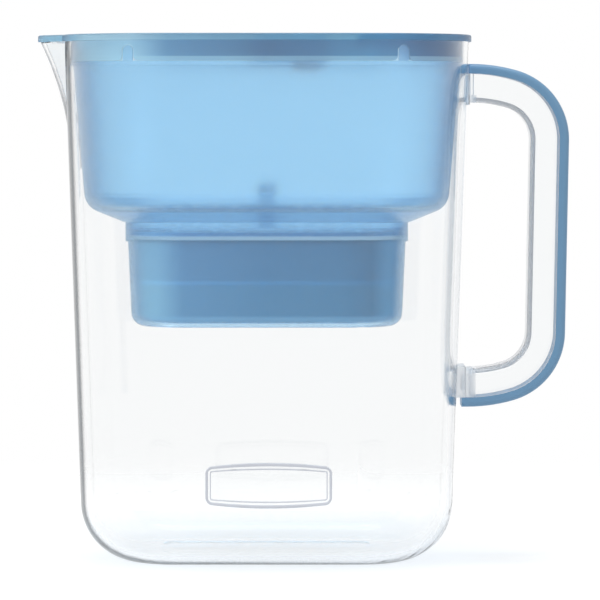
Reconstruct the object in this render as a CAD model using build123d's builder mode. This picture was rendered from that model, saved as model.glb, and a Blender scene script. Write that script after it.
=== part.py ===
from build123d import *
import os
from math import atan, degrees, radians, sqrt, tan

# A water filter pitcher: a clear moulded jug with a spout and a D handle, a
# hopper that hangs in its rim, a filter cartridge in the hopper's pocket, and a
# lid with a spout flap, a fill flap and a filter timer.
#
# Millimetres. The origin is the middle of the jug's foot, on the table. +X
# points to the handle, -X to the spout, -Y to the viewer and +Z up.

# Jug, outside, at the rim
rim_height = 250.6
rim_length = 194.6
rim_depth = 131.0
rim_corner = 54.0
jug_draft = 1.9
jug_wall = 3.3
rim_wall = 2.0
jug_floor = 3.6
foot_radius = 29.0
foot_recess = 1.0
foot_rim = 9.0
ledge_drop = 11.6

# Spout
spout_reach = 12.2
spout_width = 58.0
spout_rise = 61.0
spout_embed = 0.8
spout_root_share = 0.5
spout_wall = 2.2

# Handle: the outer line of its grip, from the upper pad round to the lower pad
handle_drop = 10.5
handle_foot = 74.4
handle_reach = 49.1
handle_lean = 2.6
handle_corner = 34.5
handle_arm_slope = 16.0
handle_arm_radius = 80.0
handle_arm_root = 0.8
handle_width = 22.0
handle_thickness = 18.6
handle_wall = 2.7
handle_edge = 3.7
grip_thickness = 4.7
grip_edge = 2.6
grip_tail = 2.0
upper_pad_proud = 1.2
lower_pad_proud = 4.4
pad_margin = 1.2
pad_edge = 0.7
tenon_length = 1.8
tenon_width = 12.0
tenon_height = 7.0
handle_end = 2.0

# Hopper
flange_thickness = 2.0
hopper_wall = 2.0
basin_height = 67.4
basin_draft = 4.8
basin_radius = 10.0
funnel_height = 7.4
funnel_run = 18.2
pocket_length = 136.8
pocket_depth = 73.0
pocket_corner = 30.0
collar_height = 9.4
collar_wall = 1.4
collar_step = 1.2
cup_height = 41.0
cup_draft = 2.6
cup_radius = 6.5
drain_ledge = 5.0
tongue_x = 64.5
tongue_width = 4.8
tongue_thickness = 1.5
tongue_height = 7.3

# Cartridge
cartridge_wall = 1.6
cap_thickness = 2.0
cap_skirt = 1.8
cap_edge = 0.8
gasket_height = 1.8
fleece_thickness = 2.0
resin_height = 14.5
outlet_slot_length = 44.0
outlet_slot_width = 2.4
outlet_slot_pitch = 9.0
outlet_slot_count = 10
inlet_slot_length = 38.0
inlet_slot_width = 2.4
inlet_slot_pitch = 9.0
inlet_slot_count = 5
inlet_field_x = 34.0
pull_height = 20.7
pull_length = 46.0
pull_width = 8.4
pull_bar = 4.5
pull_corner = 13.0
pull_edge = 1.6

# Lid
lid_thickness = 3.2
lid_overhang = 1.2
lid_edge = 1.0
skirt_thickness = 1.8
bead_height = 1.9
bead_step = 0.3
notch_flare = 2.0
pip_x = -1.7
pip_drop = 4.3
pip_radius = 1.4
pip_height = 0.35
frame_depth = 3.8
frame_wall = 1.5

# Flaps
barrel_radius = 2.6
peg_radius = 1.4
peg_length = 2.4
peg_wall = 1.5
spout_hinge_inset = 10.3
spout_flap_width = 47.8
fill_hinge_inset = 51.3
fill_flap_thickness = 2.4
fill_flap_length = 33.0
fill_flap_width = 73.0
fill_flap_corner = 12.0
fill_ledge = 4.5
fill_rib = 1.5
fill_rib_depth = 2.0
scoop_radius = 7.0
scoop_depth = 9.0
scoop_edge = 3.0

# Filter timer
timer_x = 11.0
timer_length = 34.2
timer_width = 22.2
timer_corner = 5.0
timer_wall = 1.2
timer_step = 0.9
window_thickness = 1.5
window_gap = 3.8
board_thickness = 1.0
display_x = 4.5
display_length = 15.0
display_width = 12.0
display_thickness = 1.2
button_x = -9.5
button_radius = 3.3
button_rim = 0.8
button_rim_height = 1.2
button_proud = 0.5
cell_x = 8.0
cell_radius = 5.8
cell_height = 5.4
door_radius = 7.0
door_neck_radius = 6.2
door_thickness = 2.6
door_slot_width = 1.6
door_slot_depth = 1.0

# Clearances
seat_gap = 0.1
peg_gap = 0.1
part_gap = 0.3
slide_gap = 0.35
drop_gap = 0.5

# How far a cutting form runs past the face that it opens
cut_over = 2.0


def plan(outline, height, by):
    """A rectangle with round corners, drawn in by an amount, at a height."""
    length, depth, corner = outline
    with BuildSketch(Plane.XY.offset(height)) as drawn:
        RectangleRounded(length - 2 * by, depth - 2 * by, corner - by)
    return drawn.sketch


def lean(drop, draft):
    """How far a wall comes in over a drop at a draft angle."""
    return drop * tan(radians(draft))


def tub(outline, top, by, bottom, draft, edge_radius=0.0):
    """A solid from a plan down to a flat foot, its walls drawn in by the draft and its foot rounded."""
    with BuildPart() as body:
        extrude(plan(outline, top, by), amount=bottom - top, taper=draft)
        if edge_radius > 0:
            fillet(body.edges().group_by(Axis.Z)[0], edge_radius)
    return body.part


def block(x_range, y_range, z_range, mode=Mode.ADD):
    """A box given by its ranges."""
    middle = tuple((low + high) / 2 for low, high in (x_range, y_range, z_range))
    sides = [high - low for low, high in (x_range, y_range, z_range)]
    with Locations(middle):
        Box(*sides, mode=mode)


def rod(x, z, radius, length, mode=Mode.ADD):
    """A round bar across the pitcher, on its middle plane."""
    with Locations(Plane((x, 0, z), z_dir=(0, 1, 0))):
        Cylinder(radius, length, mode=mode)


# Plans of the jug and of what hangs in it are the rim's outline, drawn in
rim_outline = (rim_length, rim_depth, rim_corner)
pocket_outline = (pocket_length, pocket_depth, pocket_corner)
ledge_height = rim_height - ledge_drop
above_rim = rim_height + cut_over


def jug_in(height):
    """How far the jug's outer wall has come in from the rim at a height."""
    return lean(rim_height - height, jug_draft)


def wall_x(height):
    """The jug's outer half length at a height."""
    return rim_length / 2 - jug_in(height)


bay_in = jug_in(ledge_height) + rim_wall

# The spout's edge, seen from the side, is one arc that leaves the end wall
spout_root = rim_height - spout_rise
spout_lean = spout_reach + spout_embed
spout_radius = (spout_rise**2 + spout_lean**2) / (2 * spout_lean)
spout_inlay = 2 * jug_wall
spout_shoulder = 1.0


def bell(height, by):
    """The spout's plan at a height: a round point on wide shoulders, drawn in by an amount."""
    rise = height - spout_root
    flare = spout_radius - sqrt(spout_radius**2 - rise**2) - spout_embed
    end_x = wall_x(height) - by
    tip_x = end_x + flare
    share = spout_root_share + (1 - spout_root_share) * rise / spout_rise
    half = spout_width / 2 * share - by / 2
    back_x = end_x - spout_inlay
    shoulder_x = end_x - spout_shoulder
    with BuildSketch(Plane.XY.offset(height)) as outline:
        with BuildLine():
            Bezier((-back_x, half), (-shoulder_x, 0.6 * half), (-tip_x, 0.3 * half), (-tip_x, 0))
            Bezier((-tip_x, 0), (-tip_x, -0.3 * half), (-shoulder_x, -0.6 * half), (-back_x, -half))
            Line((-back_x, -half), (-back_x, half))
        make_face()
    return outline.sketch


def horn(by, top_height):
    """The spout's flared form from its root up to a height."""
    steps = 4
    rise = top_height - spout_root
    heights = [spout_root + rise * step / steps for step in range(steps + 1)]
    with BuildPart() as form:
        loft([bell(height, by) for height in heights])
    return form.part


# The handle's clear bar lies inside its grip and meets two pads on the jug
handle_top = rim_height - handle_drop
bar_thickness = handle_thickness - grip_thickness
bar_drop = grip_thickness + bar_thickness / 2
upper_bar_z = handle_top - bar_drop
lower_bar_z = handle_foot + bar_drop
upper_pad_x = wall_x(upper_bar_z) + upper_pad_proud
lower_pad_x = wall_x(lower_bar_z) + lower_pad_proud
# each pad: its face, its middle height and the side that faces the finger gap
pads = [(upper_pad_x, upper_bar_z, -1), (lower_pad_x, lower_bar_z, 1)]
pad_root = 12.0

with BuildPart() as jug_body:
    add(tub(rim_outline, rim_height, 0, 0, jug_draft, foot_radius))
    add(horn(0, rim_height))
    for pad_x, bar_z, inward in pads:
        pad_half = bar_thickness / 2 + pad_margin / 2
        with Locations((pad_x - pad_root / 2, 0, bar_z + inward * pad_margin / 2)):
            Box(pad_root, handle_width + 2 * pad_margin, 2 * pad_half)
    pad_faces = jug_body.faces().filter_by(Plane.YZ).sort_by(Axis.X)[-2:]
    fillet(pad_faces.edges(), pad_edge)
    hollow_in = jug_in(above_rim) + jug_wall
    hollow = tub(rim_outline, above_rim, hollow_in, jug_floor, jug_draft, foot_radius - jug_wall)
    add(hollow, mode=Mode.SUBTRACT)
    add(horn(spout_wall, above_rim), mode=Mode.SUBTRACT)
    bay = tub(rim_outline, above_rim, jug_in(above_rim) + rim_wall, ledge_height, jug_draft)
    add(bay, mode=Mode.SUBTRACT)
    for pad_x, bar_z, _ in pads:
        with Locations((pad_x, 0, bar_z)):
            Box(
                2 * (tenon_length + part_gap),
                tenon_width + 2 * peg_gap,
                tenon_height + 2 * peg_gap,
                mode=Mode.SUBTRACT,
            )
    recess_in = jug_in(0) + foot_radius + foot_rim
    extrude(plan(rim_outline, 0, recess_in), amount=foot_recess, mode=Mode.SUBTRACT)
jug_body.part.label = "jug_body"


# The handle's outer corners
handle_start = Plane(origin=(upper_pad_x, 0, handle_top), x_dir=(0, 1, 0), z_dir=(1, 0, 0))
handle_end_x = rim_length / 2 + handle_reach
low_end_x = handle_end_x - handle_lean
slot_width = handle_width - 2 * handle_wall
# each arm leaves its pad level, then slopes towards the other
arm_run = handle_arm_root + handle_arm_radius * tan(radians(handle_arm_slope / 2))
upper_fall = (handle_end_x - upper_pad_x - arm_run) * tan(radians(handle_arm_slope))
lower_rise = (low_end_x - lower_pad_x - arm_run) * tan(radians(handle_arm_slope))


def handle_path(tail):
    """The handle's outer line from pad to pad, run on past the lower pad by the tail."""
    with BuildLine(Plane.XZ) as line:
        FilletPolyline(
            (upper_pad_x, handle_top),
            (upper_pad_x + arm_run, handle_top),
            (handle_end_x, handle_top - upper_fall),
            (low_end_x, handle_foot + lower_rise),
            (lower_pad_x + arm_run, handle_foot),
            (lower_pad_x - tail, handle_foot),
            radius=(handle_arm_radius, handle_corner, handle_corner, handle_arm_radius),
        )
    return line.line


with BuildPart() as handle_frame:
    with BuildSketch(handle_start) as bar_section:
        with Locations((0, -bar_drop)):
            Rectangle(handle_width, bar_thickness)
        fillet(bar_section.vertices().group_by(Axis.Y)[0], handle_edge)
        with Locations((0, -grip_thickness)):
            Rectangle(slot_width, 2 * (bar_thickness - handle_wall), mode=Mode.SUBTRACT)
    sweep(path=handle_path(0))
    # the channel is closed where it meets each pad
    web = bar_thickness - handle_wall / 2
    for pad_x, bar_z, inward in pads:
        web_z = bar_z + inward * (bar_thickness - handle_wall - web) / 2
        with Locations((pad_x + handle_end / 2, 0, web_z)):
            Box(handle_end, slot_width + handle_wall, web)
        with Locations((pad_x - tenon_length / 2, 0, bar_z)):
            Box(tenon_length, tenon_width, tenon_height)
handle_frame.part.label = "handle_frame"

with BuildPart() as handle_grip:
    with BuildSketch(handle_start) as grip_section:
        with Locations((0, -(grip_thickness - seat_gap) / 2)):
            Rectangle(handle_width, grip_thickness - seat_gap)
        fillet(grip_section.vertices().group_by(Axis.Y)[-1], grip_edge)
    sweep(path=handle_path(grip_tail))
handle_grip.part.label = "handle_grip"


# Hopper heights, and how far its walls stand in from the rim's outline
flange_top = ledge_height + flange_thickness
flange_in = bay_in + slide_gap
skirt_in = flange_in + bead_step
basin_foot_z = ledge_height - basin_height
basin_in = jug_in(ledge_height) + jug_wall + drop_gap
funnel_slope = degrees(atan(funnel_run / funnel_height))
mouth_z = basin_foot_z - funnel_height
step_z = mouth_z - collar_height
cup_foot_z = step_z - cup_height


def uprights(foot, by):
    """The two round-topped tongues seen from the front, let out by an amount for their notches."""
    half = tongue_width / 2 + by
    straight = tongue_height + by - half
    with BuildSketch(Plane.XZ) as outline:
        for side in (-1, 1):
            with Locations((side * tongue_x, foot + straight / 2)):
                Rectangle(2 * half, straight)
            with Locations((side * tongue_x, foot + straight)):
                Circle(half)
    return outline.sketch


def hopper_form(top, wall, collar_inset, floor):
    """Basin, funnel, collar and cup in one: the outside, or the inside at a wall and floor thickness."""
    basin_foot = basin_foot_z + floor
    edges_in = basin_in + wall
    with BuildPart() as form:
        basin_plan = plan(rim_outline, top, edges_in - lean(top - ledge_height, basin_draft))
        extrude(basin_plan, amount=basin_foot - top, taper=basin_draft)
        funnel_plan = plan(rim_outline, basin_foot, edges_in + lean(ledge_height - basin_foot, basin_draft))
        extrude(funnel_plan, amount=-funnel_height, taper=funnel_slope)
        shoulder = form.edges().filter_by_position(Axis.Z, basin_foot - seat_gap, basin_foot + seat_gap)
        fillet(shoulder, basin_radius - wall)
        shelf = step_z + floor / 2
        extrude(plan(pocket_outline, mouth_z + floor, collar_inset), amount=shelf - mouth_z - floor)
        cup_top_in = collar_step + wall
        add(tub(pocket_outline, step_z + floor, cup_top_in, cup_foot_z + floor, cup_draft, cup_radius - wall))
    return form.part


# four tongues stand on the flange and fill the notches of the lid's skirt
with BuildPart() as tongues:
    extrude(plan(rim_outline, flange_top, skirt_in), amount=tongue_height)
    tongue_bore = plan(rim_outline, flange_top, skirt_in + tongue_thickness)
    extrude(tongue_bore, amount=tongue_height, mode=Mode.SUBTRACT)
    extrude(uprights(flange_top, 0), amount=rim_depth, both=True, mode=Mode.INTERSECT)

with BuildPart() as hopper:
    add(hopper_form(ledge_height, 0, 0, 0))
    extrude(plan(rim_outline, ledge_height, flange_in), amount=flange_thickness)
    add(hopper_form(flange_top + cut_over, hopper_wall, collar_wall, hopper_wall), mode=Mode.SUBTRACT)
    drain_in = collar_step + lean(cup_height, cup_draft) + hopper_wall + drain_ledge
    extrude(plan(pocket_outline, cup_foot_z, drain_in), amount=2 * hopper_wall, mode=Mode.SUBTRACT)
    add(tongues.part)
hopper.part.label = "hopper"


# The filter hangs by its cap on the pocket's step, with a gasket between them
gasket_foot = step_z + hopper_wall / 2 + seat_gap
gasket_top = gasket_foot + gasket_height
cap_plate = gasket_top + seat_gap + cap_skirt
cap_top = cap_plate + cap_thickness
cap_in = collar_wall + drop_gap
cup_out_foot = cup_foot_z + hopper_wall + seat_gap
cup_floor = cup_out_foot + cartridge_wall
cup_out_radius = cup_radius - hopper_wall
cup_in_radius = cup_out_radius - cartridge_wall


def cup_in(height):
    """How far the filter cup's outer wall stands in from the pocket's outline at a height."""
    return collar_step + hopper_wall + drop_gap + lean(step_z + hopper_wall - height, cup_draft)


cap_bore = plan(pocket_outline, 0, cup_in(cap_plate) - peg_gap)

with BuildPart() as filter_cup:
    add(tub(pocket_outline, cap_plate, cup_in(cap_plate), cup_out_foot, cup_draft, cup_out_radius))
    above_cup = cap_plate + cut_over
    hollow_in = cup_in(above_cup) + cartridge_wall
    hollow = tub(pocket_outline, above_cup, hollow_in, cup_floor, cup_draft, cup_in_radius)
    add(hollow, mode=Mode.SUBTRACT)
    with BuildSketch(Plane.XY.offset(cup_out_foot)):
        with GridLocations(outlet_slot_pitch, 0, outlet_slot_count, 1):
            Rectangle(outlet_slot_width, outlet_slot_length)
    extrude(amount=cartridge_wall, mode=Mode.SUBTRACT)
filter_cup.part.label = "filter_cup"

with BuildPart() as filter_gasket:
    with BuildSketch(Plane.XY.offset(gasket_foot)):
        add(plan(pocket_outline, 0, cap_in))
        add(cap_bore, mode=Mode.SUBTRACT)
    extrude(amount=gasket_height)
filter_gasket.part.label = "filter_gasket"

with BuildPart() as filter_cap:
    extrude(plan(pocket_outline, cap_plate, cap_in), amount=cap_thickness)
    chamfer(filter_cap.edges().group_by(Axis.Z)[-1], cap_edge)
    with BuildSketch(Plane.XY.offset(cap_plate)):
        add(plan(pocket_outline, 0, cap_in))
        add(cap_bore, mode=Mode.SUBTRACT)
    extrude(amount=-cap_skirt)
    with BuildSketch(Plane.XY.offset(cap_plate)):
        for side in (-1, 1):
            with Locations((side * inlet_field_x, 0)):
                with GridLocations(inlet_slot_pitch, 0, inlet_slot_count, 1):
                    Rectangle(inlet_slot_width, inlet_slot_length)
    extrude(amount=cap_thickness, mode=Mode.SUBTRACT)
    with BuildSketch(Plane.YZ) as pull_outline:
        with Locations((0, cap_top + pull_height / 2)):
            Rectangle(pull_length, pull_height)
        fillet(pull_outline.vertices().group_by(Axis.Y)[-1], pull_corner)
        with BuildSketch(mode=Mode.SUBTRACT) as pull_window:
            with Locations((0, cap_top + (pull_height - pull_bar) / 2)):
                Rectangle(pull_length - 2 * pull_bar, pull_height - pull_bar)
            fillet(pull_window.vertices().group_by(Axis.Y)[-1], pull_corner - pull_bar)
    extrude(amount=pull_width / 2, both=True)
    pull_sides = filter_cap.faces().filter_by(Axis.X).sort_by(Axis.Z)[-2:]
    above_feet = pull_sides.edges().filter_by_position(Axis.Z, cap_top + pull_bar, cap_top + pull_height)
    fillet(above_feet, pull_edge)
filter_cap.part.label = "filter_cap"


def bed(name, foot, height, side_gap=part_gap):
    """One layer that fills the filter cup between two heights."""
    with BuildPart() as layer:
        bed_in = cup_in(foot + height) + cartridge_wall + side_gap
        add(tub(pocket_outline, foot + height, bed_in, foot, cup_draft))
    layer.part.label = name
    return layer


outlet_fleece_z = cup_floor + seat_gap
resin_z = outlet_fleece_z + fleece_thickness + seat_gap
middle_fleece_z = resin_z + resin_height + seat_gap
carbon_z = middle_fleece_z + fleece_thickness + seat_gap
inlet_fleece_z = cap_plate - seat_gap - fleece_thickness
# the lowest fleece lies on the flat of the floor, inside its round edge
outlet_fleece = bed("outlet_fleece", outlet_fleece_z, fleece_thickness, cup_in_radius)
resin_bed = bed("resin_bed", resin_z, resin_height)
middle_fleece = bed("middle_fleece", middle_fleece_z, fleece_thickness)
carbon_bed = bed("carbon_bed", carbon_z, inlet_fleece_z - seat_gap - carbon_z)
inlet_fleece = bed("inlet_fleece", inlet_fleece_z, fleece_thickness)


# The lid's plate runs over the jug's rim and spout, and its skirt stands on the hopper
lid_underside = rim_height + seat_gap
lid_top = lid_underside + lid_thickness
skirt_foot = flange_top + seat_gap
skirt_height = lid_underside - skirt_foot
hinge_z = lid_top - barrel_radius
frame_foot = lid_underside - frame_depth
well_floor = hinge_z - barrel_radius - part_gap
far = rim_length

# Spout flap: its hinge line, and the bay that the lid leaves for it
spout_hinge_x = spout_hinge_inset - rim_length / 2
spout_bay_y = spout_flap_width / 2 + part_gap
spout_bay_x = spout_hinge_x + barrel_radius + part_gap
spout_well_x = spout_hinge_x - barrel_radius - part_gap

# Fill flap: its hinge line, its free end, and the opening under it
fill_hinge_x = rim_length / 2 - fill_hinge_inset
fill_end_x = fill_hinge_x + fill_flap_length
fill_bay_y = fill_flap_width / 2 + part_gap
fill_bay_x = fill_hinge_x - barrel_radius - part_gap
fill_well_x = fill_hinge_x + barrel_radius + part_gap
fill_open_x = fill_well_x + frame_wall
fill_open_end = fill_end_x - fill_ledge
fill_open_y = fill_flap_width / 2 - fill_ledge
scoop_floor = lid_underside - scoop_depth

# Filter timer: the case hangs in a well, and its parts stack down from the lid's top
window_z = lid_top - window_thickness
board_z = window_z - window_gap - board_thickness
cell_z = board_z - seat_gap - cell_height
timer_foot = cell_z - seat_gap - timer_wall
timer_well_foot = timer_foot - seat_gap - frame_wall
door_top = timer_well_foot - seat_gap


def cover():
    """The lid's whole plate, with the part over the spout."""
    with BuildPart() as form:
        extrude(plan(rim_outline, lid_underside, -lid_overhang), amount=lid_thickness)
        extrude(bell(lid_underside, -lid_overhang), amount=lid_thickness)
        fillet(form.edges().group_by(Axis.Z)[-1], lid_edge)
    return form.part


def timer_plan(height, by):
    """The timer's round-cornered plan, drawn in by an amount."""
    with BuildSketch(Plane.XY.offset(height)) as outline:
        with Locations((timer_x, 0)):
            RectangleRounded(timer_length - 2 * by, timer_width - 2 * by, timer_corner - by)
    return outline.sketch


# frames under the lid's two flaps, with walls for their pegs
with BuildPart() as lid_frames:
    frame_end = rim_length / 2 - skirt_in - skirt_thickness / 2
    peg_side = peg_length + peg_gap + peg_wall
    under_plate = (frame_foot, lid_underside)
    spout_frame_y = spout_bay_y + peg_side
    fill_frame_y = fill_bay_y + peg_side
    block((-frame_end, spout_bay_x + frame_wall), (-spout_frame_y, spout_frame_y), under_plate)
    block((fill_bay_x - frame_wall, fill_end_x), (-fill_frame_y, fill_frame_y), under_plate)
    inside_skirt = plan(rim_outline, frame_foot, skirt_in + skirt_thickness / 2)
    extrude(inside_skirt, amount=frame_depth, mode=Mode.INTERSECT)

with BuildPart() as lid:
    extrude(plan(rim_outline, skirt_foot, skirt_in), amount=skirt_height)
    extrude(plan(rim_outline, skirt_foot, skirt_in - bead_step), amount=bead_height)
    skirt_bore = plan(rim_outline, skirt_foot, skirt_in + skirt_thickness)
    extrude(skirt_bore, amount=skirt_height, mode=Mode.SUBTRACT)
    add(cover())
    add(lid_frames.part)
    # the timer's well, and the door's hole in its floor
    extrude(timer_plan(timer_well_foot, -part_gap - frame_wall), amount=lid_underside - timer_well_foot)
    extrude(timer_plan(timer_foot - seat_gap, -peg_gap), amount=far, mode=Mode.SUBTRACT)
    with Locations((timer_x + cell_x, 0, timer_foot)):
        Cylinder(door_neck_radius + peg_gap, 2 * (timer_foot - timer_well_foot), mode=Mode.SUBTRACT)
    # the spout flap's bay and the well under its barrel
    above = (lid_underside - part_gap, lid_top + cut_over)
    block((-far, spout_bay_x), (-spout_bay_y, spout_bay_y), above, Mode.SUBTRACT)
    block((spout_well_x, spout_bay_x), (-spout_bay_y, spout_bay_y), (well_floor, lid_top), Mode.SUBTRACT)
    rod(spout_hinge_x, hinge_z, peg_radius + peg_gap, 2 * (spout_bay_y + peg_length + peg_gap), Mode.SUBTRACT)
    # the fill flap's bay, the well under its barrel and the opening
    fill_flap_z = lid_top - fill_flap_thickness - part_gap
    with BuildSketch(Plane.XY.offset(fill_flap_z)) as fill_bay:
        with Locations(((fill_bay_x + fill_end_x + part_gap) / 2, 0)):
            Rectangle(fill_end_x + part_gap - fill_bay_x, 2 * fill_bay_y)
        fillet(fill_bay.vertices().group_by(Axis.X)[-1], fill_flap_corner + part_gap)
    extrude(amount=far, mode=Mode.SUBTRACT)
    block((fill_bay_x, fill_well_x), (-fill_bay_y, fill_bay_y), (well_floor, lid_top), Mode.SUBTRACT)
    rod(fill_hinge_x, hinge_z, peg_radius + peg_gap, 2 * (fill_bay_y + peg_length + peg_gap), Mode.SUBTRACT)
    block((fill_open_x, fill_open_end), (-fill_open_y, fill_open_y), (frame_foot, lid_top), Mode.SUBTRACT)
    # the finger scoop under the fill flap's free end
    with BuildSketch(Plane.XY.offset(scoop_floor - frame_wall)):
        with Locations((fill_end_x, 0)):
            Circle(scoop_radius + frame_wall)
    extrude(amount=fill_flap_z - scoop_floor + frame_wall)
    with BuildSketch(Plane.XY.offset(scoop_floor)):
        with Locations((fill_end_x, 0)):
            Circle(scoop_radius)
    extrude(amount=far, mode=Mode.SUBTRACT)
    scoop_foot = lid.edges().filter_by_position(Axis.Z, scoop_floor - seat_gap, scoop_floor + seat_gap)
    chamfer(scoop_foot.filter_by(GeomType.CIRCLE), scoop_edge)
    # notches for the hopper's tongues, with round feet
    extrude(uprights(flange_top, part_gap), amount=far, both=True, mode=Mode.SUBTRACT)
    notch_width = tongue_width + 2 * part_gap
    with BuildSketch(Plane.XZ):
        for side in (-1, 1):
            notch_x = side * tongue_x
            with Locations((notch_x, skirt_foot + notch_flare / 2)):
                Rectangle(notch_width + 2 * notch_flare, notch_flare)
            for edge in (-1, 1):
                with Locations((notch_x + edge * (notch_width / 2 + notch_flare), skirt_foot + notch_flare)):
                    Circle(notch_flare, mode=Mode.SUBTRACT)
    extrude(amount=far, both=True, mode=Mode.SUBTRACT)
    # a small pip on the front of the skirt
    with Locations(Plane((pip_x, skirt_in - rim_depth / 2, rim_height - pip_drop), z_dir=(0, -1, 0))):
        Cylinder(pip_radius, 2 * pip_height)
lid.part.label = "lid"

with BuildPart() as spout_flap:
    add(cover())
    block((-far, spout_hinge_x), (-spout_flap_width / 2, spout_flap_width / 2), (0, far * 2), Mode.INTERSECT)
    rod(spout_hinge_x, hinge_z, barrel_radius, spout_flap_width)
    rod(spout_hinge_x, hinge_z, peg_radius, 2 * (spout_bay_y + peg_length))
spout_flap.part.label = "spout_flap"

with BuildPart() as fill_flap:
    with BuildSketch(Plane.XY.offset(lid_top)) as flap_plan:
        with Locations(((fill_hinge_x + fill_end_x) / 2, 0)):
            Rectangle(fill_flap_length, fill_flap_width)
        fillet(flap_plan.vertices().group_by(Axis.X)[-1], fill_flap_corner)
    extrude(amount=-fill_flap_thickness)
    rib_end = fill_end_x - scoop_radius - frame_wall - part_gap
    rib_x = (fill_open_x + drop_gap, rib_end)
    rib_y = fill_open_y - drop_gap
    rib_z = (lid_top - fill_flap_thickness - fill_rib_depth, lid_top - fill_flap_thickness)
    for x_range in ((rib_x[0], rib_x[0] + fill_rib), (rib_x[1] - fill_rib, rib_x[1])):
        block(x_range, (-rib_y, rib_y), rib_z)
    for side in (-1, 1):
        block(rib_x, sorted((side * rib_y, side * (rib_y - fill_rib))), rib_z)
    rod(fill_hinge_x, hinge_z, barrel_radius, fill_flap_width)
    rod(fill_hinge_x, hinge_z, peg_radius, 2 * (fill_bay_y + peg_length))
fill_flap.part.label = "fill_flap"


# The timer's case steps in twice: for its window and for its board
with BuildPart() as timer_case:
    extrude(timer_plan(timer_foot, 0), amount=lid_top - timer_foot)
    extrude(timer_plan(window_z - seat_gap, timer_wall), amount=far, mode=Mode.SUBTRACT)
    extrude(timer_plan(board_z - seat_gap, timer_wall + timer_step), amount=far, mode=Mode.SUBTRACT)
    extrude(timer_plan(timer_foot + timer_wall, timer_wall + 2 * timer_step), amount=far, mode=Mode.SUBTRACT)
    with Locations((timer_x + cell_x, 0, timer_foot)):
        Cylinder(door_neck_radius + peg_gap, 3 * timer_wall, mode=Mode.SUBTRACT)
timer_case.part.label = "timer_case"

with BuildPart() as timer_window:
    extrude(timer_plan(window_z, timer_wall + peg_gap), amount=window_thickness)
    with Locations((timer_x + button_x, 0, window_z)):
        Cylinder(button_radius + peg_gap, 2 * window_thickness + cut_over, mode=Mode.SUBTRACT)
timer_window.part.label = "timer_window"

with BuildPart() as timer_board:
    extrude(timer_plan(board_z, timer_wall + timer_step + peg_gap), amount=board_thickness)
timer_board.part.label = "timer_board"

with BuildPart() as timer_display:
    with BuildSketch(Plane.XY.offset(board_z + board_thickness + seat_gap)):
        with Locations((timer_x + display_x, 0)):
            Rectangle(display_length, display_width)
    extrude(amount=display_thickness)
timer_display.part.label = "timer_display"

with BuildPart() as timer_button:
    rim_top = window_z - seat_gap
    with BuildSketch(Plane.XY.offset(rim_top - button_rim_height)):
        with Locations((timer_x + button_x, 0)):
            Circle(button_radius + button_rim)
    extrude(amount=button_rim_height)
    with BuildSketch(Plane.XY.offset(rim_top)):
        with Locations((timer_x + button_x, 0)):
            Circle(button_radius)
    extrude(amount=lid_top + button_proud - rim_top)
    chamfer(timer_button.edges().group_by(Axis.Z)[-1], button_proud / 2)
timer_button.part.label = "timer_button"

with BuildPart() as timer_cell:
    with BuildSketch(Plane.XY.offset(cell_z)):
        with Locations((timer_x + cell_x, 0)):
            Circle(cell_radius)
    extrude(amount=cell_height)
timer_cell.part.label = "timer_cell"

# the cell stands on a round door, let in from below and turned with a coin
with BuildPart() as timer_door:
    with BuildSketch(Plane.XY.offset(door_top)):
        with Locations((timer_x + cell_x, 0)):
            Circle(door_radius)
    extrude(amount=-door_thickness)
    chamfer(timer_door.edges().group_by(Axis.Z)[0], door_slot_depth)
    with BuildSketch(Plane.XY.offset(door_top)):
        with Locations((timer_x + cell_x, 0)):
            Circle(door_neck_radius)
    extrude(amount=cell_z - seat_gap - door_top)
    with BuildSketch(Plane.XY.offset(door_top - door_thickness)):
        with Locations((timer_x + cell_x, 0)):
            Rectangle(2 * door_neck_radius, door_slot_width)
    extrude(amount=door_slot_depth, mode=Mode.SUBTRACT)
timer_door.part.label = "timer_door"

pieces = [
    jug_body,
    handle_frame,
    handle_grip,
    hopper,
    filter_cup,
    filter_cap,
    filter_gasket,
    outlet_fleece,
    resin_bed,
    middle_fleece,
    carbon_bed,
    inlet_fleece,
    lid,
    spout_flap,
    fill_flap,
    timer_case,
    timer_window,
    timer_board,
    timer_display,
    timer_button,
    timer_cell,
    timer_door,
]

os.makedirs("parts", exist_ok=True)
for piece in pieces:
    export_step(piece.part, f"parts/{piece.part.label}.step")
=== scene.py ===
from math import cos, pi, radians, sin, sqrt, tan

import bmesh
import bpy
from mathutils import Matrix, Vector


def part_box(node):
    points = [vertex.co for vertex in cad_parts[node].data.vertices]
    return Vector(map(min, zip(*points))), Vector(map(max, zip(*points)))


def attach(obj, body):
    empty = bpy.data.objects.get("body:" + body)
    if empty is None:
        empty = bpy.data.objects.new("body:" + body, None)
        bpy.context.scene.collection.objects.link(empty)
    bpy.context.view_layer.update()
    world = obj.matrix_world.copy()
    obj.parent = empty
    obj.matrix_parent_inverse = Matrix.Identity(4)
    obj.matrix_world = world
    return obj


# A clear water filter pitcher, seen straight from the front. The CAD parts are
# the frame, and every size here is in metres.
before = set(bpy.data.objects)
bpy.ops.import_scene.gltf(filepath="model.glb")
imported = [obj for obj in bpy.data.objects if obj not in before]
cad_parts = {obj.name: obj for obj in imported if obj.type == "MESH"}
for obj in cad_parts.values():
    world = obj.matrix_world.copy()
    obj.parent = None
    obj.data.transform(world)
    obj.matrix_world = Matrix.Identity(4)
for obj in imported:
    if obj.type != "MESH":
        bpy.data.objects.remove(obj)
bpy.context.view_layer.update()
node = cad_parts
scene = bpy.context.scene
scene.view_settings.view_transform = "Standard"


# The camera stands a little lower than the lid, about two metres off, and looks
# slightly down. Its place and lens are worked out from the photograph.
camera_x = 0.01605
camera_y = -1.95
camera_z = 0.2157
aim_z = 0.12573
lens = 241.2

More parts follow.
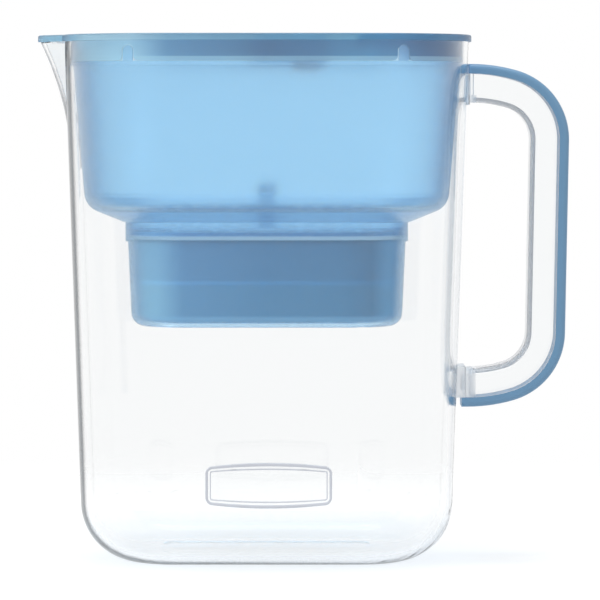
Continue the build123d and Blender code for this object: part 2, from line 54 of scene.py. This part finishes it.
camera_data = bpy.data.cameras.new("camera")
camera_data.lens = lens
camera_data.sensor_width = 36
camera_data.clip_end = 50
camera = bpy.data.objects.new("camera", camera_data)
scene.collection.objects.link(camera)
camera.location = (camera_x, camera_y, camera_z)
camera.rotation_mode = "QUATERNION"
camera.rotation_quaternion = Vector((0, -camera_y, aim_z - camera_z)).to_track_quat("-Z", "Y")
scene.camera = camera

# A ray crosses jug, hopper and cartridge on its way in and again on its way
# out, so clear walls need more bounces than the usual dozen.
scene.cycles.max_bounces = 28
scene.cycles.transmission_bounces = 28
scene.cycles.glossy_bounces = 12
scene.cycles.transparent_max_bounces = 48


# The pitcher stands on a pale seamless studio table, under a white sky that
# gives even light. Three large soft lamps add shape.
floor_half = 0.9
floor_drop = 0.0004
floor_fade = (0.25, 0.6)
floor_colour = (0.80, 0.80, 0.80, 1)
floor_glow = 0.3
white = (1, 1, 1, 1)
sky_light = 0.57
lamp_aim = Vector((0, 0, 0.12))
lamps = [
    # name, place, size, power
    ("key_lamp", (-1.6, -1.3, 1.3), 1.0, 13.0),
    ("fill_lamp", (1.6, -1.4, 0.9), 1.2, 4.0),
    ("top_lamp", (0.0, -0.1, 2.0), 1.2, 16.0),
]


def add_node(tree, kind, **values):
    """A new shader node, with its sockets set by name."""
    made = tree.nodes.new("ShaderNode" + kind)
    for name, value in values.items():
        made.inputs[name.replace("_", " ")].default_value = value
    return made


def seen_by_eye(tree):
    """1 for rays from the camera, also after a reflection or through a clear wall."""
    path = add_node(tree, "LightPath")
    first = add_node(tree, "Math")
    first.operation = "MAXIMUM"
    second = add_node(tree, "Math")
    second.operation = "MAXIMUM"
    tree.links.new(path.outputs["Is Camera Ray"], first.inputs[0])
    tree.links.new(path.outputs["Is Glossy Ray"], first.inputs[1])
    tree.links.new(first.outputs[0], second.inputs[0])
    tree.links.new(path.outputs["Is Transmission Ray"], second.inputs[1])
    return second.outputs[0]


world = bpy.data.worlds.new("studio")
scene.world = world
world.use_nodes = True
sky = world.node_tree
sky.nodes.clear()
lit = add_node(sky, "Background", Color=white, Strength=sky_light)
shown = add_node(sky, "Background", Color=white, Strength=1.0)
either = add_node(sky, "MixShader")
sky.links.new(seen_by_eye(sky), either.inputs["Fac"])
sky.links.new(lit.outputs[0], either.inputs[1])
sky.links.new(shown.outputs[0], either.inputs[2])
sky.links.new(either.outputs[0], add_node(sky, "OutputWorld").inputs["Surface"])

for name, place, size, power in lamps:
    light = bpy.data.lights.new(name, "AREA")
    light.size = size
    light.energy = power
    lamp = bpy.data.objects.new(name, light)
    scene.collection.objects.link(lamp)
    lamp.location = place
    lamp.rotation_euler = (lamp_aim - Vector(place)).to_track_quat("-Z", "Y").to_euler()


sharp_turn = radians(32)


def link_mesh(name, build):
    """A bmesh that build has filled, as a smooth object of the scene."""
    form = bmesh.new()
    build(form)
    mesh = bpy.data.meshes.new(name)
    bmesh.ops.recalc_face_normals(form, faces=form.faces)
    form.to_mesh(mesh)
    form.free()
    mesh.shade_smooth()
    mesh.set_sharp_from_angle(angle=sharp_turn)
    made = bpy.data.objects.new(name, mesh)
    scene.collection.objects.link(made)
    return made


def table(form):
    """A flat square, a hair under the pitcher's foot."""
    corners = [(-1, -1), (1, -1), (1, 1), (-1, 1)]
    spots = [(floor_half * x, floor_half * y, -floor_drop) for x, y in corners]
    form.faces.new([form.verts.new(spot) for spot in spots])


floor = link_mesh("floor", table)
paper = bpy.data.materials.new("table_paper")
paper.use_nodes = True
tree = paper.node_tree
tree.nodes.clear()
matt = add_node(tree, "BsdfDiffuse", Color=floor_colour)
glow = add_node(tree, "Emission", Color=white, Strength=floor_glow)
none = add_node(tree, "Emission", Strength=0.0)
eye = add_node(tree, "MixShader")
both = add_node(tree, "AddShader")
tree.links.new(seen_by_eye(tree), eye.inputs["Fac"])
tree.links.new(none.outputs[0], eye.inputs[1])
tree.links.new(glow.outputs[0], eye.inputs[2])
tree.links.new(matt.outputs[0], both.inputs[0])
tree.links.new(eye.outputs[0], both.inputs[1])
# away from the pitcher the table fades into the white round it
place = add_node(tree, "TexCoord")
far = add_node(tree, "VectorMath")
far.operation = "LENGTH"
fade = add_node(tree, "MapRange")
fade.interpolation_type = "SMOOTHSTEP"
fade.inputs["From Min"].default_value, fade.inputs["From Max"].default_value = floor_fade
gone = add_node(tree, "BsdfTransparent")
edge = add_node(tree, "MixShader")
tree.links.new(place.outputs["Object"], far.inputs[0])
tree.links.new(far.outputs["Value"], fade.inputs["Value"])
tree.links.new(fade.outputs[0], edge.inputs["Fac"])
tree.links.new(both.outputs[0], edge.inputs[1])
tree.links.new(gone.outputs[0], edge.inputs[2])
tree.links.new(edge.outputs[0], add_node(tree, "OutputMaterial").inputs["Surface"])
floor.data.materials.append(paper)


# The jug is one clear moulding with a spout, polished inside and out. The plastic turns
# grey where the eye looks along a wall, and how dark is painted shade, set by place
# along the pitcher: near black by the spout, pale by the handle. Its skin has the
# slight waves of a large moulding.
jug_face = (0.965, 0.972, 0.974, 1)
jug_pale = (0.972, 0.978, 0.98, 1)
jug_edge_painted_shade = [
    # place along the pitcher, painted shade of the plastic seen along its skin
    (-0.110, (0.20, 0.22, 0.25, 1)),
    (-0.099, (0.16, 0.18, 0.21, 1)),
    (-0.096, (0.01, 0.015, 0.02, 1)),
    (-0.09, (0.01, 0.015, 0.02, 1)),
    (-0.02, (0.10, 0.12, 0.14, 1)),
    (0.05, (0.50, 0.53, 0.57, 1)),
    (0.09, (0.76, 0.78, 0.81, 1)),
    (0.0935, (0.80, 0.82, 0.85, 1)),
    (0.0945, (0.95, 0.96, 0.97, 1)),
]
jug_light = (0.97, 0.975, 0.98, 1)
# how far the skin turns from the eye where its edge colour starts, and where it is full
edge_turns = (0.61, 0.74)
moulded_ior = 1.49
clear_rough = (0.014, 0.03)


def new_material(name):
    """A material with an empty tree and a Principled shader."""
    made = bpy.data.materials.new(name)
    made.use_nodes = True
    tree = made.node_tree
    tree.nodes.clear()
    shader = add_node(tree, "BsdfPrincipled")
    out = add_node(tree, "OutputMaterial")
    tree.links.new(shader.outputs[0], out.inputs["Surface"])
    return made, tree, shader, out


def noise(tree, scale, detail=2.0, stretch=(1, 1, 1)):
    """Cloudy noise in the part's own space. The scale is in lumps per metre."""
    place = add_node(tree, "TexCoord")
    size = add_node(tree, "Mapping")
    size.inputs["Scale"].default_value = stretch
    cloud = add_node(tree, "TexNoise", Scale=scale, Detail=detail)
    tree.links.new(place.outputs["Object"], size.inputs["Vector"])
    tree.links.new(size.outputs[0], cloud.inputs["Vector"])
    return cloud.outputs["Fac"]


def bumps(tree, shader, layers):
    """Raises the skin by layers of (height socket, depth in metres, strength)."""
    normal = None
    for height, depth, strength in layers:
        bump = add_node(tree, "Bump", Strength=strength, Distance=depth)
        tree.links.new(height, bump.inputs["Height"])
        if normal is not None:
            tree.links.new(normal, bump.inputs["Normal"])
        normal = bump.outputs[0]
    tree.links.new(normal, shader.inputs["Normal"])


noise_low, noise_high = 0.3, 0.7


def spread(tree, value, low, high):
    """Stretches a noise value, which stays near its middle, to a range."""
    fit = add_node(tree, "MapRange")
    fit.inputs["From Min"].default_value = noise_low
    fit.inputs["From Max"].default_value = noise_high
    fit.inputs["To Min"].default_value = low
    fit.inputs["To Max"].default_value = high
    tree.links.new(value, fit.inputs["Value"])
    return fit.outputs[0]


def put(tree, value, socket):
    """Sets a socket, or links it where the value is another node's output."""
    if isinstance(value, bpy.types.NodeSocket):
        tree.links.new(value, socket)
    else:
        socket.default_value = value


def blend(tree, value, first, second):
    """A colour between two, by a value."""
    mix = add_node(tree, "Mix")
    mix.data_type = "RGBA"
    tree.links.new(value, mix.inputs[0])
    put(tree, first, mix.inputs[6])
    put(tree, second, mix.inputs[7])
    return mix.outputs[2]


def mottle(tree, shader, cloud, dark, pale):
    """Gives the skin a colour that wanders between two, by a noise."""
    tree.links.new(blend(tree, cloud, dark, pale), shader.inputs["Base Color"])


def let_light_in(tree, out, tint):
    """Lamp light and stray light pass the wall straight, tinted, to light what is behind."""
    path = add_node(tree, "LightPath")
    surface = out.inputs["Surface"].links[0].from_socket
    for kind in ("Is Shadow Ray", "Is Diffuse Ray"):
        clear = add_node(tree, "BsdfTransparent", Color=tint)
        mix = add_node(tree, "MixShader")
        tree.links.new(path.outputs[kind], mix.inputs["Fac"])
        tree.links.new(surface, mix.inputs[1])
        tree.links.new(clear.outputs[0], mix.inputs[2])
        surface = mix.outputs[0]
    tree.links.new(surface, out.inputs["Surface"])


def along(tree, axis, stops):
    """A colour that changes along an axis. Each stop is a place in metres and a colour."""
    low, high = stops[0][0], stops[-1][0]
    place = add_node(tree, "TexCoord")
    split = add_node(tree, "SeparateXYZ")
    fit = add_node(tree, "MapRange")
    fit.inputs["From Min"].default_value = low
    fit.inputs["From Max"].default_value = high
    ramp = add_node(tree, "ValToRGB")
    tree.links.new(place.outputs["Object"], split.inputs[0])
    tree.links.new(split.outputs[axis], fit.inputs["Value"])
    tree.links.new(fit.outputs[0], ramp.inputs[0])
    marks = ramp.color_ramp.elements
    while len(marks) < len(stops):
        marks.new(0.5)
    for mark, (spot, colour) in zip(marks, stops):
        mark.position = (spot - low) / (high - low)
        mark.color = colour
    return ramp.outputs[0]


def times(tree, first, second):
    """Two colours multiplied."""
    mix = add_node(tree, "Mix")
    mix.data_type = "RGBA"
    mix.blend_type = "MULTIPLY"
    mix.inputs[0].default_value = 1.0
    put(tree, first, mix.inputs[6])
    put(tree, second, mix.inputs[7])
    return mix.outputs[2]


def shade_edges(tree, flat, edge, start, end):
    """One colour square on and another along the skin. Start and end say how far turned away."""
    turn = add_node(tree, "LayerWeight", Blend=0.5)
    ramp = add_node(tree, "MapRange")
    ramp.interpolation_type = "SMOOTHSTEP"
    ramp.inputs["From Min"].default_value = start
    ramp.inputs["From Max"].default_value = end
    tree.links.new(turn.outputs["Facing"], ramp.inputs["Value"])
    return blend(tree, ramp.outputs[0], flat, edge)


def clear_plastic(name, edges=None):
    """Clear polished plastic. Where edge stops are given, the skin seen along a wall turns grey, and
    how dark is painted shade, set by place along the pitcher.
    """
    made, tree, shader, out = new_material(name)
    if edges:
        tint = shade_edges(tree, jug_face, along(tree, "X", edges), *edge_turns)
        tree.links.new(tint, shader.inputs["Base Color"])
    else:
        mottle(tree, shader, noise(tree, scale=20.0), jug_face, jug_pale)
    shader.inputs["Transmission Weight"].default_value = 1.0
    shader.inputs["IOR"].default_value = moulded_ior
    gloss = spread(tree, noise(tree, scale=40.0), *clear_rough)
    tree.links.new(gloss, shader.inputs["Roughness"])
    bumps(tree, shader, [(noise(tree, scale=14.0, detail=1.0), 0.0003, 0.03)])
    let_light_in(tree, out, jug_light)
    return made


def finish_node(name, material):
    """Gives a CAD part its material."""
    node[name].data.materials.clear()
    node[name].data.materials.append(material)


finish_node("jug_body", clear_plastic("jug_clear_plastic", jug_edge_painted_shade))
jug_inside = clear_plastic("jug_inside_plastic")
node["jug_body"].data.materials.append(jug_inside)

# Only the outer skin has the painted dark edges. A face is inside where its middle lies
# well within the jug's plan.
wall_in = 0.0016
half_length, half_depth, plan_corner = 0.0973, 0.0655, 0.054
least_corner = 0.001
rim_z, foot_round = 0.2506, 0.029
draft = tan(radians(1.9))


def depth_inside(x, y, z):
    """How far a point lies within the jug's outer plan at its height."""
    drawn_in = (rim_z - z) * draft
    below = min(max(foot_round - z, 0), foot_round)
    drawn_in += foot_round - sqrt(foot_round**2 - below**2)
    corner = max(plan_corner - drawn_in, least_corner)
    past_x = abs(x) - (half_length - drawn_in - corner)
    past_y = abs(y) - (half_depth - drawn_in - corner)
    out = sqrt(max(past_x, 0) ** 2 + max(past_y, 0) ** 2) + min(max(past_x, past_y), 0)
    return corner - out


# The two pads that carry the handle are a little cloudy where the bar is fixed in
# them. The recess under the foot is as plain as the inside.
pad_dark = (0.80, 0.82, 0.84, 1)
pad_pale = (0.88, 0.90, 0.92, 1)
pad_light = (0.95, 0.96, 0.97, 1)
pad_plastic, tree, shader, out = new_material("pad_plastic")
mottle(tree, shader, noise(tree, scale=90.0), pad_dark, pad_pale)
shader.inputs["Transmission Weight"].default_value = 0.7
shader.inputs["Specular IOR Level"].default_value = 0.25
shader.inputs["IOR"].default_value = 1.3
shader.inputs["Roughness"].default_value = 0.32
let_light_in(tree, out, pad_light)
node["jug_body"].data.materials.append(pad_plastic)
inside_slot, pad_slot = 1, 2
pad_start, pad_half_width = 0.0915, 0.0125
pad_heights = [(0.0785, 0.0948), (0.2198, 0.2360)]
recess_height, recess_half_length, recess_half_depth = 0.004, 0.0595, 0.028


def corners_of(mesh, face):
    """The places of a face's corners."""
    return [mesh.vertices[corner].co for corner in face.vertices]


def on_pad(spot):
    """Whether a point lies on one of the two pads."""
    level = any(low < spot.z < high for low, high in pad_heights)
    return level and spot.x > pad_start and abs(spot.y) < pad_half_width


for face in node["jug_body"].data.polygons:
    spot = face.center
    in_recess = (
        spot.z < recess_height
        and abs(spot.x) < recess_half_length
        and abs(spot.y) < recess_half_depth
    )
    if all(on_pad(corner) for corner in corners_of(node["jug_body"].data, face)):
        face.material_index = pad_slot
    elif in_recess or depth_inside(*spot) > wall_in:
        face.material_index = inside_slot


# The handle is a clear channel bar, moulded apart and pushed into two pads on
# the jug. Its open side is closed by a blue grip.
# The handle's edges take painted shade, darker further out from the jug.
handle_edge_painted_shade = [
    # place along the pitcher, painted shade of the plastic seen along its skin
    (0.095, (0.85, 0.87, 0.90, 1)),
    (0.105, (0.45, 0.48, 0.53, 1)),
    (0.15, (0.30, 0.33, 0.38, 1)),
]
# painted shade for the channel's floor, where the grip lies against the bar
channel_shade_dark = (0.26, 0.29, 0.33, 1)
channel_shade_pale = (0.34, 0.37, 0.41, 1)
channel_light = (0.9, 0.91, 0.92, 1)
finish_node("handle_frame", clear_plastic("handle_clear_plastic", handle_edge_painted_shade))
channel_shade_plastic, tree, shader, out = new_material("handle_channel_painted_shade")
mottle(tree, shader, noise(tree, scale=60.0), channel_shade_dark, channel_shade_pale)
shader.inputs["Transmission Weight"].default_value = 0.8
shader.inputs["Specular IOR Level"].default_value = 0.1
shader.inputs["Roughness"].default_value = 0.3
let_light_in(tree, out, channel_light)
node["handle_frame"].data.materials.append(channel_shade_plastic)
node["handle_frame"].data.materials.append(pad_plastic)
floor_slot, joint_slot = 1, 2

# The ends that sit in the pads are as cloudy as the pads. The channel's floor is
# what faces away from the fingers and not to either side, and it is painted dark grey
# as shade where the grip lies in it.
joint_end = 0.1015
finger_gap = Vector((0.112, 0, 0.157))
side_turn = 0.3
for face in node["handle_frame"].data.polygons:
    if max(corner.x for corner in corners_of(node["handle_frame"].data, face)) < joint_end:
        face.material_index = joint_slot
    elif abs(face.normal.y) < side_turn and face.normal.dot(face.center - finger_gap) > 0:
        face.material_index = floor_slot


# The grip is a blue strip that runs round the outside of the handle, moulded
# solid, with a fine satin skin.
grip_blue = (0.145, 0.30, 0.475, 1)
grip_pale = (0.155, 0.315, 0.495, 1)
smoother, rougher = 0.05, 0.06


def satin_plastic(name, dark, pale, rough=0.36, grain=0.00002):
    """Solid moulded plastic with a fine satin grain and slight flow marks."""
    made, tree, shader, out = new_material(name)
    mottle(tree, shader, noise(tree, scale=60.0, detail=3.0), dark, pale)
    gloss = spread(tree, noise(tree, scale=180.0), rough - smoother, rough + rougher)
    tree.links.new(gloss, shader.inputs["Roughness"])
    shader.inputs["IOR"].default_value = moulded_ior
    fine = noise(tree, scale=3200.0, detail=1.0)
    flow = noise(tree, scale=30.0, detail=1.0)
    bumps(tree, shader, [(fine, grain, 0.35), (flow, 0.0004, 0.06)])
    return made


finish_node("handle_grip", satin_plastic("grip_satin_plastic", grip_blue, grip_pale))


# A plain raised plate low on the jug's front, with bowed long sides. It is moulded
# clear, and its rim and the line inside it are painted grey as the shade of the raised rim.
plate_x = 0.0013
plate_z = 0.04065
plate_half_length = 0.030
plate_half_height = 0.00885
plate_bow = 0.00198
plate_corner = 0.0032
least_round = 0.0006
plate_steps = 12
bow_steps = 24
rim_profile = [
    # distance in from the plate's edge, height over the jug's skin
    (0.0, -0.00005),
    (0.0001, 0.00035),
    (0.0003, 0.0005),
    (0.0009, 0.0005),
    (0.00115, 0.00038),
    (0.0013, 0.0002),
    (0.0021, 0.0002),
    (0.0022, 0.00032),
    (0.0026, 0.00032),
    (0.0027, 0.0002),
]
# the rings painted grey as the raised rim's shade
rim_shade_rings = (1, 2, 3, 4, 7, 8)
rim_shade_dark = (0.62, 0.64, 0.70, 1)
rim_shade_pale = (0.70, 0.72, 0.78, 1)
rim_shade_rough = 0.4


def plate_ring(form, inset, height):
    """One ring of the plate, at a distance in from its edge and a height over the skin."""
    half_x, half_z = plate_half_length - inset, plate_half_height - inset
    round_off = max(plate_corner - inset, least_round)
    points = []
    for side_x, side_z, start in ((1, 1, 0.0), (-1, 1, pi / 2), (-1, -1, pi), (1, -1, 1.5 * pi)):
        corner_x, corner_z = side_x * (half_x - round_off), side_z * (half_z - round_off)
        for step in range(plate_steps + 1):
            turn = start + pi / 2 * step / plate_steps
            points.append((corner_x + round_off * cos(turn), corner_z + round_off * sin(turn)))
        if side_x * side_z > 0:
            for part in range(1, bow_steps):
                points.append((corner_x * (1 - 2 * part / bow_steps), side_z * half_z))
    ring = []
    for x, z in points:
        z += plate_bow * (1 - (x / plate_half_length) ** 2) * z / plate_half_height
        skin = -(half_depth - (rim_z - plate_z - z) * draft)
        ring.append(form.verts.new((plate_x + x, skin - height, plate_z + z)))
    return ring


def badge_plate(form):
    """The plate's rim, ring inside ring, closed by its face and its back."""
    rings = [plate_ring(form, inset, height) for inset, height in rim_profile]
    for number, (outer, inner) in enumerate(zip(rings, rings[1:])):
        for here in range(len(outer)):
            after = (here + 1) % len(outer)
            band = form.faces.new((outer[here], outer[after], inner[after], inner[here]))
            band.material_index = 1 if number in rim_shade_rings else 0
    form.faces.new(rings[-1])
    form.faces.new(list(reversed(rings[0])))


plate = link_mesh("front_plate", badge_plate)
plate.data.materials.append(clear_plastic("plate_clear_plastic"))
rim_shade_finish = satin_plastic("plate_rim_painted_shade", rim_shade_dark, rim_shade_pale, rim_shade_rough)
plate.data.materials.append(rim_shade_finish)
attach(plate, "jug")


# The hopper is a thin tinted moulding that hangs in the jug's rim. It lets
# light through but blurs what is behind it.
hopper_tint = (0.57, 0.825, 0.998, 1)
hopper_pale = (0.59, 0.84, 1.0, 1)
hopper_edge = (0.08, 0.38, 0.75, 1)
misty_light = (0.84, 0.93, 0.99, 1)
misty_turns = (0.35, 0.9)
misty_swing = 0.018


def misty_plastic(name, tint, pale, edge, body=0.0, rough=0.24, shade_stops=None, shade_heights=None):
    """Tinted plastic that light passes and things show through as soft shapes.

    Body is the share of solid colour in it. Its shade stops paint shade along the
    pitcher, by as much as its height stops say at each height.
    """
    made, tree, shader, out = new_material(name)
    colour = blend(tree, noise(tree, scale=30.0, detail=3.0), tint, pale)
    if shade_stops:
        # painted shade along the pitcher, weighed by height
        shaded = times(tree, colour, along(tree, "X", shade_stops))
        colour = blend(tree, along(tree, "Z", shade_heights), colour, shaded)
    tint = shade_edges(tree, colour, edge, *misty_turns)
    tree.links.new(tint, shader.inputs["Base Color"])
    shader.inputs["Transmission Weight"].default_value = 1 - body
    shader.inputs["Specular IOR Level"].default_value = 0.12
    shader.inputs["IOR"].default_value = 1.42
    # a wider swing of the roughness shows as small specks
    mist = spread(tree, noise(tree, scale=90.0), rough - misty_swing, rough + misty_swing)
    tree.links.new(mist, shader.inputs["Roughness"])
    bumps(tree, shader, [(noise(tree, scale=12.0, detail=1.0), 0.0003, 0.04)])
    let_light_in(tree, out, misty_light)
    return made


hopper_material = misty_plastic("hopper_misty_plastic", hopper_tint, hopper_pale, hopper_edge)
finish_node("hopper", hopper_material)


# The filter cartridge is a tinted cup with a welded cap, filled with fleece,
# resin and carbon. A soft gasket under the cap seals it in the hopper's pocket.
cup_blue = (0.65, 0.90, 1.0, 1)
cup_pale = (0.68, 0.92, 1.0, 1)
# The cup is darkened by painted shade along the pitcher, most towards the handle end and least at
# the spout end.
cup_painted_shade = [
    # place along the pitcher, how much of the colour the painted shade leaves there
    (-0.062, (1.0, 1.0, 1.0, 1)),
    (-0.052, (0.95, 0.98, 1.0, 1)),
    (-0.040, (0.40, 0.62, 0.78, 1)),
    (0.000, (0.22, 0.50, 0.66, 1)),
    (0.036, (0.19, 0.47, 0.62, 1)),
    (0.050, (0.13, 0.40, 0.55, 1)),
    (0.062, (0.48, 0.85, 1.0, 1)),
]
cup_shade_heights = [
    # height, how much of that painted shade counts: less at the foot, which is bare plastic
    (0.1159, (0.5, 0.5, 0.5, 1)),
    (0.1185, (0.5, 0.5, 0.5, 1)),
    (0.1200, (1.0, 1.0, 1.0, 1)),
]
cup_edge = (0.20, 0.40, 0.62, 1)
cup_body, cup_rough = 0.5, 0.35
cup_material = misty_plastic(
    "cup_misty_plastic", cup_blue, cup_pale, cup_edge, cup_body, cup_rough, cup_painted_shade, cup_shade_heights
)
finish_node("filter_cup", cup_material)
cap_blue = (0.59, 0.77, 0.87, 1)
cap_pale = (0.62, 0.79, 0.89, 1)
cap_body = 0.15
cap_material = misty_plastic("cap_misty_plastic", cap_blue, cap_pale, cup_edge, cap_body)
finish_node("filter_cap", cap_material)


def grain_fill(name, dark, pale, grains, depth, rough):
    """A bed of loose grains, so many to the metre and standing out by a depth."""
    made, tree, shader, out = new_material(name)
    place = add_node(tree, "TexCoord")
    cells = add_node(tree, "TexVoronoi", Scale=grains)
    tree.links.new(place.outputs["Object"], cells.inputs["Vector"])
    # Each grain is pale in its middle and darker towards the gaps between grains: painted shade over
    # the grains' own colour.
    mottle(tree, shader, cells.outputs["Distance"], pale, dark)
    shader.inputs["Roughness"].default_value = rough
    turned = add_node(tree, "Math")
    turned.operation = "SUBTRACT"
    turned.inputs[0].default_value = 1.0
    tree.links.new(cells.outputs["Distance"], turned.inputs[1])
    bumps(tree, shader, [(turned.outputs[0], depth, 0.9)])
    return made


carbon_dark = (0.01, 0.01, 0.011, 1)
carbon_pale = (0.05, 0.05, 0.055, 1)
resin_dark = (0.35, 0.20, 0.07, 1)
resin_pale = (0.72, 0.50, 0.22, 1)
beds = [
    # part, material, dark and pale colour, grains to the metre, their depth, roughness
    ("carbon_bed", "carbon_grains", carbon_dark, carbon_pale, 900.0, 0.0006, 0.5),
    ("resin_bed", "resin_beads", resin_dark, resin_pale, 1300.0, 0.0004, 0.25),
]
for part, finish, dark, pale, grains, depth, rough in beds:
    finish_node(part, grain_fill(finish, dark, pale, grains, depth, rough))


def fleece_pad(name, dark, pale):
    """Pressed white fibres."""
    made, tree, shader, out = new_material(name)
    fibres = noise(tree, scale=500.0, detail=6.0, stretch=(1, 4, 12))
    mottle(tree, shader, fibres, dark, pale)
    shader.inputs["Roughness"].default_value = 0.9
    shader.inputs["Sheen Weight"].default_value = 0.3
    bumps(tree, shader, [(fibres, 0.0004, 0.6)])
    return made


fleece_dark = (0.72, 0.72, 0.70, 1)
fleece_pale = (0.92, 0.92, 0.90, 1)
fleece = fleece_pad("fleece_fibres", fleece_dark, fleece_pale)
for layer in ("outlet_fleece", "middle_fleece", "inlet_fleece"):
    finish_node(layer, fleece)
gasket_dark = (0.68, 0.70, 0.72, 1)
gasket_pale = (0.76, 0.78, 0.80, 1)
gasket_rough = 0.5
silicone = satin_plastic("gasket_silicone", gasket_dark, gasket_pale, gasket_rough)
finish_node("filter_gasket", silicone)


# The lid is a tinted moulding with a skirt that stands on the hopper's flange. Painted
# shade along the pitcher makes it darker than the hopper, less so at the bead on the
# skirt's foot and on its top.
lid_blue = (0.60, 0.88, 0.995, 1)
lid_pale = (0.62, 0.90, 1.0, 1)
lid_painted_shade = [
    # place along the pitcher, how much of the colour the painted shade leaves there
    (-0.100, (1.0, 1.0, 1.0, 1)),
    (-0.064, (0.95, 0.97, 1.0, 1)),
    (-0.046, (0.36, 0.54, 0.70, 1)),
    (0.000, (0.21, 0.39, 0.55, 1)),
    (0.050, (0.22, 0.49, 0.67, 1)),
    (0.090, (0.09, 0.26, 0.46, 1)),
]
lid_shade_heights = [
    # height, how much of that painted shade counts: least at the bead on the skirt's foot
    (0.2410, (0.8, 0.8, 0.8, 1)),
    (0.2414, (0.3, 0.3, 0.3, 1)),
    (0.2430, (0.3, 0.3, 0.3, 1)),
    (0.2434, (1.0, 1.0, 1.0, 1)),
    (0.2505, (1.0, 1.0, 1.0, 1)),
    (0.2509, (0.75, 0.75, 0.75, 1)),
    (0.2540, (0.75, 0.75, 0.75, 1)),
]
lid_edge = (0.07, 0.18, 0.31, 1)
lid_body, lid_rough = 0.22, 0.3
lid_material = misty_plastic(
    "lid_misty_plastic", lid_blue, lid_pale, lid_edge, lid_body, lid_rough, lid_painted_shade, lid_shade_heights
)
finish_node("lid", lid_material)


# Two flaps of the same plastic turn on pegs: one over the spout, and one over
# the opening that the tap fills.
finish_node("spout_flap", lid_material)
finish_node("fill_flap", lid_material)


# The filter timer is a white snap-in case under a clear window, with a display,
# a button, a board and a button cell on a turned door.
timer_finishes = [
    # part, material, dark and pale colour, roughness
    ("timer_case", "timer_case_plastic", (0.80, 0.81, 0.82, 1), (0.86, 0.87, 0.88, 1), 0.42),
    ("timer_door", "timer_door_plastic", (0.78, 0.79, 0.80, 1), (0.84, 0.85, 0.86, 1), 0.42),
    ("timer_button", "button_rubber", (0.42, 0.56, 0.70, 1), (0.48, 0.62, 0.75, 1), 0.55),
    ("timer_board", "board_lacquer", (0.02, 0.13, 0.06, 1), (0.03, 0.18, 0.08, 1), 0.3),
    ("timer_display", "display_glass", (0.42, 0.47, 0.42, 1), (0.46, 0.51, 0.46, 1), 0.12),
]
for part, finish, dark, pale, rough in timer_finishes:
    finish_node(part, satin_plastic(finish, dark, pale, rough))
finish_node("timer_window", clear_plastic("timer_window_plastic"))
steel_dark = (0.55, 0.56, 0.57, 1)
steel_pale = (0.72, 0.73, 0.74, 1)
cell_steel, tree, shader, out = new_material("cell_steel")
mottle(tree, shader, noise(tree, scale=400.0, detail=3.0, stretch=(1, 1, 6)), steel_dark, steel_pale)
shader.inputs["Metallic"].default_value = 1.0
shader.inputs["Roughness"].default_value = 0.28
finish_node("timer_cell", cell_steel)


# On the board sit a chip, a switch dome under the button and four small parts. The
# display shows four plain bars. All are soldered or printed on.
board_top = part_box("timer_board")[1][2]
display_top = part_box("timer_display")[1][2]
chip_place = (0.0052, 0.0062)
chip_side, chip_height, chip_round = 0.0034, 0.0009, 0.00012
leg_count = 4
leg_size, leg_round, leg_reach = (0.0005, 0.0003, 0.0004), 0.00005, 0.0002
small_parts = [(-0.0025, 0.0068), (-0.0025, -0.0068), (0.0005, -0.0070), (0.0055, -0.0062)]
small_size, small_round = (0.0016, 0.0008, 0.0007), 0.0001
dome_x, dome_radius, dome_height = 0.0015, 0.0022, 0.0006
dome_steps, dome_sides, dome_close = 4, 24, 0.9
bar_size, bar_round = (0.0018, 0.0072, 0.00008), 0.00003
bar_places = [0.0105, 0.0138, 0.0171, 0.0204]


def block(form, middle, size, round_off):
    """A block with rounded edges."""
    corners = bmesh.ops.create_cube(form, size=1.0)["verts"]
    for corner in corners:
        corner.co = Vector([c * s for c, s in zip(corner.co, size)]) + Vector(middle)
    edges = list(dict.fromkeys(edge for corner in corners for edge in corner.link_edges))
    bmesh.ops.bevel(form, geom=edges, offset=round_off, segments=2, affect="EDGES")


def chip(form):
    """The chip's black body."""
    x, y = chip_place
    size = (chip_side, chip_side, chip_height)
    block(form, (x, y, board_top + chip_height / 2), size, chip_round)


def soldered(form):
    """The chip's legs, the small parts and the switch dome."""
    x, y = chip_place
    for side in (-1, 1):
        for leg in range(leg_count):
            leg_x = x + (leg - (leg_count - 1) / 2) * chip_side / leg_count
            leg_y = y + side * (chip_side / 2 + leg_reach)
            block(form, (leg_x, leg_y, board_top + leg_size[2] / 2), leg_size, leg_round)
    for spot_x, spot_y in small_parts:
        block(form, (spot_x, spot_y, board_top + small_size[2] / 2), small_size, small_round)
    rings = []
    for step in range(dome_steps + 1):
        rise = pi / 2 * step / dome_steps
        reach, height = dome_radius * cos(rise * dome_close), dome_height * sin(rise)
        ring = []
        for part in range(dome_sides):
            turn = 2 * pi * part / dome_sides
            spot = (dome_x + reach * cos(turn), reach * sin(turn), board_top + height)
            ring.append(form.verts.new(spot))
        rings.append(ring)
    for low, high in zip(rings, rings[1:]):
        for part in range(dome_sides):
            after = (part + 1) % dome_sides
            form.faces.new((low[part], low[after], high[after], high[part]))
    form.faces.new(rings[-1])
    form.faces.new(list(reversed(rings[0])))


def bars(form):
    """The display's bars."""
    for spot in bar_places:
        block(form, (spot, 0.0, display_top + bar_size[2] / 2), bar_size, bar_round)


details = [
    # piece, its form, dark and pale colour, roughness, slot
    ("board_chip", chip, (0.012, 0.012, 0.013, 1), (0.02, 0.02, 0.022, 1), 0.45, "board"),
    ("board_soldered_parts", soldered, (0.45, 0.46, 0.47, 1), (0.60, 0.60, 0.58, 1), 0.3, "cell"),
    ("display_bars", bars, (0.05, 0.06, 0.06, 1), (0.07, 0.08, 0.08, 1), 0.4, "display"),
]
for name, build, dark, pale, rough, slot in details:
    piece = link_mesh(name, build)
    piece.data.materials.append(satin_plastic(name + "_finish", dark, pale, rough))
    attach(piece, "lid_body")
